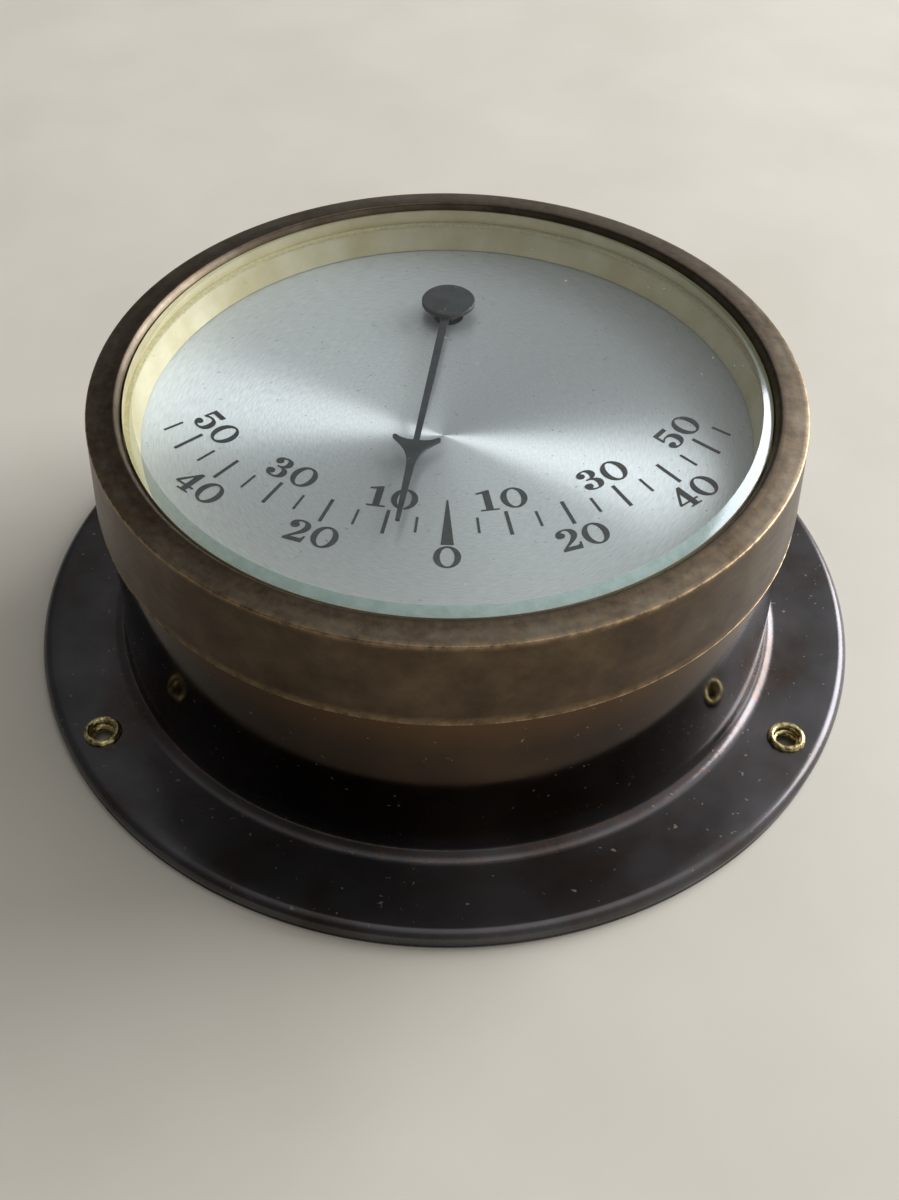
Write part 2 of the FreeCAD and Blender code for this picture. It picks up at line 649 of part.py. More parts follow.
def clamp_screw():
    """Headless slotted screw that locks the clamp to the arbor."""
    start = PIVOT_Y + ARBOR_R
    screw = Part.makeCylinder(SET_SCREW_R, SET_SCREW_LENGTH, V(0, start, ROD_Z), V(0, 1, 0))
    corner = V(-2 * SET_SCREW_R, start + SET_SCREW_LENGTH - SLOT_DEPTH, ROD_Z - 0.25 * SLOT_WIDTH)
    slot = Part.makeBox(4 * SET_SCREW_R, SLOT_DEPTH, 0.5 * SLOT_WIDTH, corner)
    return hang(screw.cut(slot))


def rod_start():
    """Distance from the pivot to the rod's upper end, the floor of the clamp's slot."""
    return 0.45 * ROD_CLAMP_R


def pendulum_rod():
    """Flat strip from the clamp to the bob."""
    start = rod_start()
    length = PENDULUM_LENGTH - start + 0.4 * BOB_R
    strip = Part.makeBox(ROD_WIDTH, length, ROD_THICK,
                         V(-0.5 * ROD_WIDTH, PIVOT_Y - start - length, ROD_Z - HALF_ROD))
    return hang(strip.cut(rod(SCREW_R, ROD_Z - 2, ROD_Z + 2, 0, PIVOT_Y - PENDULUM_LENGTH)))


def pendulum_bob():
    """Heavy round weight, slotted across for the rod and held by a screw from behind."""
    low = ROD_Z - 0.5 * BOB_THICK
    high = ROD_Z + 0.5 * BOB_THICK
    centre_y = PIVOT_Y - PENDULUM_LENGTH
    bob = rod(BOB_R, low, high, 0, centre_y)
    bob = bob.makeChamfer(BOB_EDGE, [e for e in bob.Edges if e.BoundBox.ZLength < 1e-6])
    slot_end = rod_start() - PENDULUM_LENGTH
    slot = Part.makeBox(ROD_WIDTH, -slot_end + 0.4 * BOB_R, ROD_THICK,
                        V(-0.5 * ROD_WIDTH, centre_y - 0.4 * BOB_R, ROD_Z - HALF_ROD))
    bob = bob.cut(slot)
    return hang(bob.cut(rod(SCREW_R, low - 1, ROD_Z + 0.3 * BOB_THICK, 0, centre_y)))


def bob_screw():
    """Screw through the bob and the rod's end."""
    low = ROD_Z - 0.5 * BOB_THICK
    return hang(slotted_screw(0, PIVOT_Y - PENDULUM_LENGTH, low, 1, BOB_SCREW_HEAD_R, BOB_SCREW_HEAD,
                              SCREW_R, 0.8 * BOB_THICK))


def stop_places():
    """Centres of the two stop pins: the rod's edge comes near one at each end of the swing."""
    reach = 0.5 * ROD_WIDTH + STOP_PIN_R + STOP_CLEAR
    spread = STOP_ANGLE + math.degrees(math.asin(reach / STOP_CIRCLE_R))
    places = []
    for side in (-1, 1):
        at = polar(STOP_CIRCLE_R, side * spread - 90.0, 0.0, (0.0, PIVOT_Y))
        places.append((at.x, at.y))
    return places


def stop_pin(x, y):
    """Pin pressed into the movement plate, long enough to meet the rod."""
    return rod(STOP_PIN_R, ROD_Z - HALF_ROD - STOP_TAIL, PLATE_TOP, x, y)


def foot_nut(x, y):
    """Nut on a dial foot, behind the movement plate."""
    return hex_nut(x, y, PLATE_BACK - NUT_THICK, PLATE_BACK, NUT_ACROSS, FOOT_THREAD_R)


def plate_screw(x, y):
    """Screw whose head sits on the front of the movement plate."""
    return slotted_screw(x, y, PLATE_TOP, -1, SCREW_HEAD_R, SCREW_HEAD, SCREW_R, SCREW_LENGTH)


def bridge_screw(x, y):
    """Screw whose head sits on the back of the bridge."""
    return slotted_screw(x, y, BRIDGE_BACK, 1, SCREW_HEAD_R, SCREW_HEAD, SCREW_R, SCREW_LENGTH)


def back_cover():
    """Pressed cup that closes the back by friction inside the wall."""
    radius = wall_radius(COVER_BACK_Z + COVER_RIM) - WALL_SHEET - COVER_GAP
    return turned([
        (0, COVER_BACK_Z), (radius, COVER_BACK_Z, COVER_THICK), (radius, COVER_BACK_Z + COVER_RIM),
        (radius - COVER_THICK, COVER_BACK_Z + COVER_RIM),
        (radius - COVER_THICK, COVER_BACK_Z + COVER_THICK), (0, COVER_BACK_Z + COVER_THICK),
    ])


def copies(make, places):
    """One group holding a copy of a piece at each place."""
    return Part.makeCompound([make(x, y) for x, y in places])


def ring_places(radius, count, first):
    places = []
    for angle in around(count, first):
        at = polar(radius, angle)
        places.append((at.x, at.y))
    return places


hole_places = ring_places(HOLE_CIRCLE_R, HOLE_COUNT, 90.0)
foot_places = ring_places(FOOT_CIRCLE_R, FOOT_COUNT, FOOT_ANGLE)
lug_places = ring_places(lug_radius(), LUG_COUNT, LUG_ANGLE)
pillar_places = [(-PILLAR_SPREAD, PIVOT_Y), (PILLAR_SPREAD, PIVOT_Y)]

parts = {
    "case_shell": case_shell(),
    "mounting_eyelets": copies(eyelet, hole_places),
    "bezel_ring": bezel_ring(),
    "glass": glass(),
    "glass_gasket": glass_gasket(),
    "reflector_ring": reflector_ring(),
    "dial_plate": dial_plate(),
    "scale_ticks": scale_ticks(),
    "zero_mark": zero_mark(),
    "scale_numerals": scale_numerals(),
    "dial_feet": copies(dial_foot, foot_places),
    "dial_foot_nuts": copies(foot_nut, foot_places),
    "movement_plate": movement_plate(),
    "case_lugs": Part.makeCompound([case_lug(angle) for angle in around(LUG_COUNT, LUG_ANGLE)]),
    "plate_screws": copies(plate_screw, lug_places),
    "front_bush": bush(PLATE_BACK, PLATE_TOP, True, ARBOR_R + RUN_CLEAR),
    "rear_bush": bush(BRIDGE_BACK, BRIDGE_TOP, False, ARBOR_PIVOT_R + RUN_CLEAR),
    "rear_bridge": rear_bridge(),
    "bridge_pillars": Part.makeCompound([bridge_pillar(x) for x, y in pillar_places]),
    "pillar_screws": copies(plate_screw, pillar_places),
    "bridge_screws": copies(bridge_screw, pillar_places),
    "stop_pins": copies(stop_pin, stop_places()),
    "arbor": arbor(),
    "pointer_blade": pointer_blade(),
    "pointer_collet": pointer_collet(),
    "pointer_hub": pointer_hub(),
    "pendulum_clamp": pendulum_clamp(),
    "clamp_screw": clamp_screw(),
    "pendulum_rod": pendulum_rod(),
    "pendulum_bob": pendulum_bob(),
    "bob_screw": bob_screw(),
    "back_cover": back_cover(),
}

os.makedirs("parts", exist_ok=True)
for name, shape in parts.items():
    if shape.ShapeType == "Solid" or len(shape.Solids) != 1:
        solid = shape
    else:
        solid = shape.Solids[0]
    print(name, "solids", len(solid.Solids), "valid", solid.isValid(), "volume", round(solid.Volume, 2))
    solid.exportStep("parts/" + name + ".step")
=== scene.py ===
import math

import bmesh
import bpy
from mathutils import Matrix, Vector


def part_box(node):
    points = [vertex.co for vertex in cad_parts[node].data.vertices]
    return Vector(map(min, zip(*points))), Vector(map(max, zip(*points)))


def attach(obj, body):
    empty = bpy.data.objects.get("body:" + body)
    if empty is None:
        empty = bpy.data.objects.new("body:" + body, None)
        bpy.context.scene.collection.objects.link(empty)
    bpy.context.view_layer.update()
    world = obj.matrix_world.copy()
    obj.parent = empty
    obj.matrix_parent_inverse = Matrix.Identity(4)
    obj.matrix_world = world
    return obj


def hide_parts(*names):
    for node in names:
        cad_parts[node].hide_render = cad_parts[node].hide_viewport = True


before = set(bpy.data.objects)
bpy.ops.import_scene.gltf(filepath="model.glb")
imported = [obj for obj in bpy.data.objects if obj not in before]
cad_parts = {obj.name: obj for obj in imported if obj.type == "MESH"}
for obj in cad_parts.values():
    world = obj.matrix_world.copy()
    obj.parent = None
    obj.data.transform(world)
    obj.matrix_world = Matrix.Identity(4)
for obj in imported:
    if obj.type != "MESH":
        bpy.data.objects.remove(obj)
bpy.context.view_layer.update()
MM = 0.001

# Sizes in millimetres that the frame doesn't give by itself
FLANGE_TOP = 3.0
SHEET = 0.9
RIM_ROUND = 1.7
RIM_EDGE = 0.15
FOOT_FILLET = 2.2
FOOT_RISE = FOOT_FILLET * 1.8
WALL_R_FOOT = 55.3
WALL_R_HEAD = 54.1
WALL_THICK = 1.0
THREAD_GAP = 0.12
BEZEL_R_TOP = 55.5
BEZEL_EDGE_Z = 49.5
BEZEL_FACE_R = 51.1
BEZEL_LIP_DEPTH = 1.1
GLASS_GAP = 0.3
GLASS_BEVEL_R = 48.4
GLASS_BEVEL_DROP = 0.8
REFLECTOR_R_DIAL = 47.95
REFLECTOR_R_GLASS = 49.3
REFLECTOR_SHEET = 0.6
GASKET_WIDTH = 0.8
COVER_SHEET = 0.8
HOLE_CIRCLE_R = 63.9
HOLE_COUNT = 3
DRILL_LENGTH = 4.0
EYELET_BORE_R = 2.15
EYELET_WALL = 0.45
EYELET_FIT = 0.05
FLOOR_HALF = 1500.0

# Gap in millimetres that keeps two faces from lying in one plane
FILM = 0.03

# Facets round a turned piece, length of a facet along a rounded corner, and the angle from which an edge is sharp
TURN_STEPS = 288
CORNER_STEP = 0.12
SHARP_FROM = math.radians(35)

# Zones of the case and the bezel by height over the back, in millimetres, where one look turns into the next
FOOT_SATIN = (2.4, 4.6)
FOOT_METAL = (4.0, 8.0)
FOOT_COLOUR = (4.0, 9.0)
# Painted reflection: over this zone the top of the case wall turns lighter and warmer, standing in for the floor
# reflected there
WALL_PAINTED_REFLECTION = (26.0, 34.5)
BEZEL_FACE = (49.2, 49.5)
# Painted shade: above this height the inner lip of the bezel turns darker
BEZEL_LIP_PAINTED_SHADE = (49.8, 50.0)

# Middle of the dial's brush strokes in millimetres, and how many degrees they lie off a true circle
BRUSH_CENTRE = (-0.7, -3.8, 0.0)
BRUSH_SKEW = -8.0

# How the rolled eyelets wander from a true circle and over what length, in millimetres
EYELET_WANDER = (0.42, 0.42, 0.12)
EYELET_WANDER_LENGTH = 0.9

# Camera, solved from the circles of the bezel, the glass and the flange
CAMERA_AT = Vector((0.7, -192.6, 198.83)) * MM
CAMERA_DOWN = math.radians(45.6825)
CAMERA_ROLL = math.radians(-0.8687)
CAMERA_ROUND = math.radians(-0.5)
CAMERA_LENS = 46.77

# Brightness of the room round the object
ROOM_DIM = 0.125
ROOM_WINDOW_SIDE = 0.75
ROOM_OVERHEAD = 0.75
ROOM_VIEWER_SHARE = 0.55

# Window: direction from the object, then distance, width and height in metres, and power in watts
WINDOW_TOWARDS = (0.79, 0.42, 0.42)
WINDOW_DISTANCE = 1.3
WINDOW_WIDTH = 1.0
WINDOW_HEIGHT = 0.75
WINDOW_WATTS = 21.0


def linear(hex_colour):
    """Linear colour of an sRGB hex value."""
    values = [int(hex_colour[i:i + 2], 16) / 255 for i in (1, 3, 5)]
    return tuple(v / 12.92 if v <= 0.04045 else ((v + 0.055) / 1.055) ** 2.4 for v in values) + (1.0,)


def add(material, kind, settings=None, links=None):
    """Adds a node to a material or node group, sets its properties and sockets and links its inputs."""
    tree = getattr(material, "node_tree", material)
    node = tree.nodes.new(kind)
    for key, value in (settings or {}).items():
        if isinstance(key, str) and hasattr(node, key):
            setattr(node, key, value)
        else:
            node.inputs[key].default_value = value
    for key, source in (links or {}).items():
        tree.links.new(source, node.inputs[key])
    return node


def new_material(name):
    """Empty material with nodes."""
    material = bpy.data.materials.new(name)
    material.use_nodes = True
    material.node_tree.nodes.clear()
    return material


def finish_material(material, shader):
    """Gives a material its surface."""
    add(material, "ShaderNodeOutputMaterial", links={"Surface": shader})
    return material


def colour_ramp(material, source, stops):
    """Colours by a value: stops are (position, sRGB hex)."""
    ramp = add(material, "ShaderNodeValToRGB", links={"Fac": source})
    elements = ramp.color_ramp.elements
    while len(elements) < len(stops):
        elements.new(0.5)
    for element, (position, colour) in zip(elements, stops):
        element.position = position
        element.color = linear(colour)
    return ramp.outputs["Color"]


def object_noise(material, feature_mm, detail=4.0, roughness=0.55, stretch=(1, 1, 1)):
    """Noise whose blotches are about feature_mm across."""
    where = add(material, "ShaderNodeTexCoord")
    spread = add(material, "ShaderNodeMapping", {"Scale": stretch}, {"Vector": where.outputs["Object"]})
    scale = 1.0 / (feature_mm * MM)
    noise = add(material, "ShaderNodeTexNoise", {"Scale": scale, "Detail": detail, "Roughness": roughness},
                {"Vector": spread.outputs["Vector"]})
    return noise.outputs["Fac"]


def between(material, value, low, high, out_low=0.0, out_high=1.0):
    """Maps a value from one range to another and clamps it."""
    node = add(material, "ShaderNodeMapRange", {"From Min": low, "From Max": high, "To Min": out_low,
                                                "To Max": out_high}, {"Value": value})
    return node.outputs["Result"]


def mixed(material, share, first, second):
    """Mix of two colours: sockets or sRGB hex."""
    node = add(material, "ShaderNodeMix", {"data_type": "RGBA"})
    material.node_tree.links.new(share, node.inputs["Factor"])
    for socket, value in ((node.inputs[6], first), (node.inputs[7], second)):
        if isinstance(value, str):
            socket.default_value = linear(value)
        else:
            material.node_tree.links.new(value, socket)
    return node.outputs[2]


def maths(material, operation, *values):
    """Sum, product and the like of sockets and numbers."""
    node = add(material, "ShaderNodeMath", {"operation": operation})
    for socket, value in zip(node.inputs, values):
        if isinstance(value, (int, float)):
            socket.default_value = value
        else:
            material.node_tree.links.new(value, socket)
    return node.outputs["Value"]


def bumped(material, height, distance_mm, strength=1.0):
    """Surface normal tilted by a height."""
    node = add(material, "ShaderNodeBump", {"Distance": distance_mm * MM, "Strength": strength}, {"Height": height})
    return node.outputs["Normal"]


def worn(material):
    """Wear along edges, painted on the turned meshes."""
    return add(material, "ShaderNodeAttribute", {"attribute_name": "wear"}).outputs["Fac"]


def by_height(material, zone, low=0.0, high=1.0):
    """Value that goes from low to high over a zone of heights above the back, in millimetres."""
    where = add(material, "ShaderNodeTexCoord")
    height = add(material, "ShaderNodeSeparateXYZ", links={"Vector": where.outputs["Object"]}).outputs["Z"]
    return between(material, height, zone[0] * MM, zone[1] * MM, low, high)


def oxidised_brass():
    """Spun brass, blackened and polished: a dark brown mirror on the wall, with a painted reflection of the floor
    that makes it lighter and warmer under the bezel, greyer and satin on the flange, rubbed brown round the foot and
    the rim, with dust that catches the light."""
    m = new_material("oxidised_brass_polished")
    cloud = object_noise(m, 16.0, 4.0)
    fine = object_noise(m, 0.9, 5.0, 0.7)
    wall = colour_ramp(m, cloud, [(0.30, "#352b25"), (0.50, "#3f332a"), (0.70, "#4a3b2e")])
    # Painted reflection of the floor: towards its top the wall colour is mixed towards a light warm brown
    wall = mixed(m, by_height(m, WALL_PAINTED_REFLECTION, 0.0, 0.5), wall, "#6e5236")
    flange = colour_ramp(m, cloud, [(0.34, "#4c4440"), (0.50, "#575658"), (0.66, "#636165")])
    base = mixed(m, by_height(m, FOOT_COLOUR), flange, wall)
    chips = maths(m, "MULTIPLY", worn(m), between(m, fine, 0.46, 0.74, 0.0, 0.9))
    base = mixed(m, chips, base, "#74543f")
    specks = between(m, object_noise(m, 1.2, 2.0, 0.5), 0.71, 0.745)
    base = mixed(m, maths(m, "MULTIPLY", specks, 0.5), base, "#9a9083")
    satin = by_height(m, FOOT_SATIN, 0.2, 0.02)
    rough = maths(m, "ADD", between(m, object_noise(m, 9.0, 4.0), 0.3, 0.7, 0.05, 0.10), satin)
    rough = maths(m, "ADD", rough, maths(m, "MULTIPLY", chips, 0.14))
    rough = maths(m, "ADD", rough, maths(m, "MULTIPLY", specks, 0.3))
    normal = bumped(m, maths(m, "MULTIPLY", fine, worn(m)), 0.04)
    metal = by_height(m, FOOT_METAL, 0.88, 1.0)
    shader = add(m, "ShaderNodeBsdfPrincipled", {},
                 {"Base Color": base, "Metallic": metal, "Roughness": rough, "Normal": normal})
    return finish_material(m, shader.outputs["BSDF"])


def bronzed_brass():
    """Turned brass with a brown antique patina: satin and cloudy, greyer on the face, darkened by painted shade on
    the inner lip and bright where it is rubbed."""
    m = new_material("bronzed_brass_turned")
    cloud = object_noise(m, 7.0, 5.0, 0.62)
    blotch = object_noise(m, 2.4, 3.0, 0.6)
    band = colour_ramp(m, cloud, [(0.32, "#4a3d30"), (0.50, "#57493a"), (0.68, "#645644")])
    face = colour_ramp(m, cloud, [(0.32, "#50463b"), (0.50, "#5e564b"), (0.68, "#6c655a")])
    face = mixed(m, between(m, blotch, 0.56, 0.74, 0.0, 0.35), face, "#7f796c")
    base = mixed(m, by_height(m, BEZEL_FACE), band, face)
    # Painted shade: the inner lip is mixed towards dark brown
    base = mixed(m, by_height(m, BEZEL_LIP_PAINTED_SHADE, 0.0, 0.6), base, "#3a3029")
    rub = maths(m, "MULTIPLY", worn(m), between(m, object_noise(m, 1.6, 4.0, 0.7), 0.38, 0.62, 0.2, 1.0))
    base = mixed(m, rub, base, "#c4a680")
    rough = between(m, object_noise(m, 3.0, 3.0, 0.6, (1, 1, 22)), 0.3, 0.7, 0.32, 0.44)
    normal = bumped(m, object_noise(m, 0.5, 3.0), 0.008, 0.5)
    shader = add(m, "ShaderNodeBsdfPrincipled", {"Metallic": 1.0},
                 {"Base Color": base, "Roughness": rough, "Normal": normal})
    return finish_material(m, shader.outputs["BSDF"])


def plain_metal(name, light, dark, rough_low, rough_high, feature_mm=1.5):
    """Machined metal with faint clouds of tarnish."""
    m = new_material(name)
    cloud = object_noise(m, feature_mm * 4, 4.0, 0.6)
    base = colour_ramp(m, cloud, [(0.35, dark), (0.62, light)])
    rough = between(m, object_noise(m, feature_mm), 0.3, 0.7, rough_low, rough_high)
    normal = bumped(m, object_noise(m, 0.35, 3.0), 0.006, 0.6)
    shader = add(m, "ShaderNodeBsdfPrincipled", {"Metallic": 1.0},
                 {"Base Color": base, "Roughness": rough, "Normal": normal})
    return finish_material(m, shader.outputs["BSDF"])


def silvered_dial():
    """Silvered brass brushed in circles: highlights fan out from the middle, with fine rings and dust."""
    m = new_material("silvered_brass_brushed_in_circles")
    where = add(m, "ShaderNodeTexCoord")
    from_centre = add(m, "ShaderNodeVectorMath", {"operation": "SUBTRACT", 1: [v * MM for v in BRUSH_CENTRE]},
                      {0: where.outputs["Object"]})
    split = add(m, "ShaderNodeSeparateXYZ", links={"Vector": from_centre.outputs["Vector"]})
    x, y = split.outputs["X"], split.outputs["Y"]
    across = add(m, "ShaderNodeCombineXYZ", links={"X": x, "Y": y})
    across = add(m, "ShaderNodeVectorMath", {"operation": "NORMALIZE"}, {0: across.outputs["Vector"]})
    across = add(m, "ShaderNodeVectorRotate", {"rotation_type": "Z_AXIS", "Angle": math.radians(BRUSH_SKEW)},
                 {"Vector": across.outputs["Vector"]})
    radius = maths(m, "SQRT", maths(m, "ADD", maths(m, "MULTIPLY", x, x), maths(m, "MULTIPLY", y, y)))
    angle = maths(m, "MULTIPLY", maths(m, "ARCTAN2", y, x), 0.004)
    rings = add(m, "ShaderNodeCombineXYZ", links={"X": radius, "Y": angle})
    ring_noise = add(m, "ShaderNodeTexNoise", {"Scale": 1 / (0.22 * MM), "Detail": 3.0, "Roughness": 0.5},
                     {"Vector": rings.outputs["Vector"]}).outputs["Fac"]
    base = colour_ramp(m, ring_noise, [(0.35, "#ced4d6"), (0.65, "#dee4e6")])
    spots = between(m, object_noise(m, 1.1, 2.0), 0.715, 0.735)
    base = mixed(m, maths(m, "MULTIPLY", spots, 0.35), base, "#5c6462")
    rough = between(m, ring_noise, 0.3, 0.7, 0.42, 0.50)
    normal = bumped(m, ring_noise, 0.003, 0.4)
    shader = add(m, "ShaderNodeBsdfPrincipled", {"Metallic": 0.66, "Anisotropic": 0.95},
                 {"Base Color": base, "Roughness": rough, "Normal": normal, "Tangent": across.outputs["Vector"]})
    return finish_material(m, shader.outputs["BSDF"])


def dial_ink():
    """Printed ink, dark grey with a faint mottle."""
    m = new_material("printing_ink_grey")
    base = colour_ramp(m, object_noise(m, 0.8, 3.0), [(0.35, "#2d3231"), (0.65, "#3b4140")])
    rough = between(m, object_noise(m, 0.5), 0.3, 0.7, 0.45, 0.6)
    shader = add(m, "ShaderNodeBsdfPrincipled", {}, {"Base Color": base, "Roughness": rough})
    return finish_material(m, shader.outputs["BSDF"])


def blackened_steel():
    """Thin steel, stoved matt black, with grains of dust."""
    m = new_material("steel_stoved_black")
    base = colour_ramp(m, object_noise(m, 3.0, 4.0), [(0.35, "#23282a"), (0.65, "#343a3c")])
    grains = between(m, object_noise(m, 0.9, 2.0), 0.70, 0.73)
    base = mixed(m, maths(m, "MULTIPLY", grains, 0.5), base, "#8c9492")
    rough = between(m, object_noise(m, 0.7), 0.3, 0.7, 0.38, 0.55)
    shader = add(m, "ShaderNodeBsdfPrincipled", {}, {"Base Color": base, "Roughness": rough})
    return finish_material(m, shader.outputs["BSDF"])


def gilt_brass():
    """Brass under pale gold lacquer: satin and warm, slightly deeper where the lacquer is thick."""
    m = new_material("gold_lacquered_brass")
    base = colour_ramp(m, object_noise(m, 9.0, 3.0), [(0.35, "#d6ca9f"), (0.65, "#e8dfbf")])
    rough = between(m, object_noise(m, 1.2), 0.3, 0.7, 0.36, 0.46)
    normal = bumped(m, object_noise(m, 0.6, 3.0), 0.01, 0.5)
    shader = add(m, "ShaderNodeBsdfPrincipled", {"Metallic": 0.3},
                 {"Base Color": base, "Roughness": rough, "Normal": normal})
    return finish_material(m, shader.outputs["BSDF"])


def bedding_rubber():
    """Amber rubber, dull and dusty, painted pale close to the gold beside it: painted light that hides the shade on
    its inner wall.
    """
    m = new_material("bedding_rubber_painted_pale")
    base = colour_ramp(m, object_noise(m, 0.6, 4.0), [(0.4, "#cfc59a"), (0.7, "#e2dab8")])
    rough = between(m, object_noise(m, 0.4), 0.3, 0.7, 0.7, 0.9)
    shader = add(m, "ShaderNodeBsdfPrincipled", {}, {"Base Color": base, "Roughness": rough})
    return finish_material(m, shader.outputs["BSDF"])


def clear_glass():
    """Polished plate glass: clear, with a reflection that grows towards grazing and a few specks of dust."""
    m = new_material("plate_glass_polished")
    dust = between(m, object_noise(m, 1.0, 2.0, 0.5), 0.745, 0.76)
    clear = add(m, "ShaderNodeBsdfTransparent", {"Color": linear("#fcfdfd")})
    gloss = add(m, "ShaderNodeBsdfGlossy", {"Color": linear("#ffffff"), "Roughness": 0.02})
    grey = add(m, "ShaderNodeBsdfDiffuse", {"Color": linear("#c9c9c2")})
    facing = add(m, "ShaderNodeLayerWeight", {"Blend": 0.5}).outputs["Facing"]
    inside = add(m, "ShaderNodeNewGeometry").outputs["Backfacing"]
    grazing = maths(m, "MULTIPLY_ADD", maths(m, "POWER", facing, 5.0), 0.92, 0.06)
    share = maths(m, "MULTIPLY", grazing, maths(m, "SUBTRACT", 1.0, inside))
    sheet = add(m, "ShaderNodeMixShader", links={0: share, 1: clear.outputs["BSDF"], 2: gloss.outputs["BSDF"]})
    dusty = add(m, "ShaderNodeMixShader", links={0: maths(m, "MULTIPLY", dust, 0.5), 1: sheet.outputs["Shader"],
                                                 2: grey.outputs["BSDF"]})
    return finish_material(m, dusty.outputs["Shader"])


def ground_glass():
    """Fine-ground bevel of thick glass: milky green where it faces the eye, clear and glossy where it turns away."""
    m = new_material("plate_glass_ground_bevel")
    base = colour_ramp(m, object_noise(m, 2.5, 3.0), [(0.35, "#84aca3"), (0.65, "#a2c2bc")])
    rough = between(m, object_noise(m, 0.3), 0.3, 0.7, 0.14, 0.24)
    body = add(m, "ShaderNodeBsdfPrincipled", {"IOR": 1.7}, {"Base Color": base, "Roughness": rough})
    clear = add(m, "ShaderNodeBsdfTransparent", {"Color": linear("#f4f5ee")})
    gloss = add(m, "ShaderNodeBsdfGlossy", {"Color": linear("#eaf2ff"), "Roughness": 0.14})
    facing = add(m, "ShaderNodeLayerWeight", {"Blend": 0.5}).outputs["Facing"]
    milky = add(m, "ShaderNodeMixShader", links={0: between(m, facing, 0.15, 0.5, 0.62, 0.04),
                                                 1: clear.outputs["BSDF"], 2: body.outputs["BSDF"]})
    both = add(m, "ShaderNodeMixShader", links={0: between(m, facing, 0.2, 0.6, 0.03, 0.16),
                                                1: milky.outputs["Shader"], 2: gloss.outputs["BSDF"]})
    return finish_material(m, both.outputs["Shader"])


def floor_tile():
    """Pale stone tile, slightly cloudy."""
    m = new_material("stone_tile_pale")
    base = colour_ramp(m, object_noise(m, 60.0, 5.0), [(0.3, "#d6d0c3"), (0.7, "#dfdacf")])
    rough = between(m, object_noise(m, 30.0), 0.3, 0.7, 0.45, 0.6)
    shader = add(m, "ShaderNodeBsdfPrincipled", {}, {"Base Color": base, "Roughness": rough})
    return finish_material(m, shader.outputs["BSDF"])


def soften(corners):
    """Profile of (radius, z, round, wear) corners in millimetres to close-set points with their wear."""
    points = []
    count = len(corners)
    for i, (r, z, rounding, wear) in enumerate(corners):
        here = Vector((r, z))
        if not rounding:
            points.append((r, z, wear))
            continue
        before = Vector(corners[i - 1][:2])
        after = Vector(corners[(i + 1) % count][:2])
        back, ahead = (before - here).normalized(), (after - here).normalized()
        half = 0.5 * back.angle(ahead)
        middle = (back + ahead).normalized()
        centre = here + middle * (rounding / math.sin(half))
        sweep = math.pi - 2 * half
        steps = max(3, min(10, round(sweep * rounding / CORNER_STEP)))
        first = here + back * (rounding / math.tan(half)) - centre
        turn = 1 if first.x * ahead.y - first.y * ahead.x > 0 else -1
        for k in range(steps + 1):
            angle = turn * sweep * k / steps
            spin = Matrix.Rotation(angle, 2)
            spot = centre + spin @ first
            points.append((spot.x, spot.y, wear * math.sin(math.pi * (k + 0.5) / (steps + 1))))
    return points


def turned_piece(name, corners, materials, choose=None, closed=True):
    """Lathe-turned mesh about the case axis, smooth, with wear on its points and a material index per band."""
    points = soften(corners)
    mesh = bpy.data.meshes.new(name)
    build = bmesh.new()
    wear_layer = build.verts.layers.float.new("wear")
    rings = []
    for r, z, wear in points:
        if r < 1e-6:
            vert = build.verts.new((0, 0, z * MM))
            vert[wear_layer] = wear
            rings.append([vert] * TURN_STEPS)
            continue
        ring = []
        for k in range(TURN_STEPS):
            a = 2 * math.pi * k / TURN_STEPS
            vert = build.verts.new((r * MM * math.cos(a), r * MM * math.sin(a), z * MM))
            vert[wear_layer] = wear
            ring.append(vert)
        rings.append(ring)
    last = len(rings) if closed else len(rings) - 1
    for i in range(last):
        low, high = rings[i], rings[(i + 1) % len(rings)]
        middle_r = 0.5 * (points[i][0] + points[(i + 1) % len(points)][0])
        middle_z = 0.5 * (points[i][1] + points[(i + 1) % len(points)][1])
        for k in range(TURN_STEPS):
            corners_here = [low[k], low[(k + 1) % TURN_STEPS], high[(k + 1) % TURN_STEPS], high[k]]
            unique = list(dict.fromkeys(corners_here))
            if len(unique) < 3:
                continue
            face = build.faces.new(unique)
            face.smooth = True
            face.material_index = choose(middle_r, middle_z) if choose else 0
    bmesh.ops.recalc_face_normals(build, faces=build.faces)
    build.to_mesh(mesh)
    build.free()
    piece = bpy.data.objects.new(name, mesh)
    bpy.context.scene.collection.objects.link(piece)
    for material in materials:
        mesh.materials.append(material)
    mesh.set_sharp_from_angle(angle=SHARP_FROM)
    return piece


def wall_radius(z):
    """Outside radius of the case wall, as the case narrows towards the dial."""
    head_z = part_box("case_shell")[1].z / MM
    return WALL_R_FOOT + (z - FLANGE_TOP) / (head_z - FLANGE_TOP) * (WALL_R_HEAD - WALL_R_FOOT)


def case_finish(material):
    """Spun case with a curled rim and a rounded foot, worn along the rim and the foot."""
    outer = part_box("case_shell")[1].x / MM
    head_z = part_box("case_shell")[1].z / MM
    head, foot = wall_radius(head_z), wall_radius(FLANGE_TOP)
    piece = turned_piece("case_shell_finish", [
        (outer, 0, RIM_EDGE, 0.2), (outer, FLANGE_TOP, RIM_ROUND, 0.2), (outer - 3.2, FLANGE_TOP, 0, 0.08),
        (foot + 8.0, FLANGE_TOP, 0, 0.0), (foot + 4.6, FLANGE_TOP, 0, 0.35), (foot, FLANGE_TOP, FOOT_FILLET, 1.0),
        (foot, FLANGE_TOP + FOOT_RISE, 0, 0.0), (head, head_z, 0, 0), (head - WALL_THICK, head_z, 0, 0),
        (foot - WALL_THICK, FLANGE_TOP - SHEET, 0, 0),
        (outer - SHEET, FLANGE_TOP - SHEET, RIM_ROUND - SHEET, 0), (outer - SHEET, 0, RIM_EDGE, 0),
    ], [material])
    return drilled(piece)


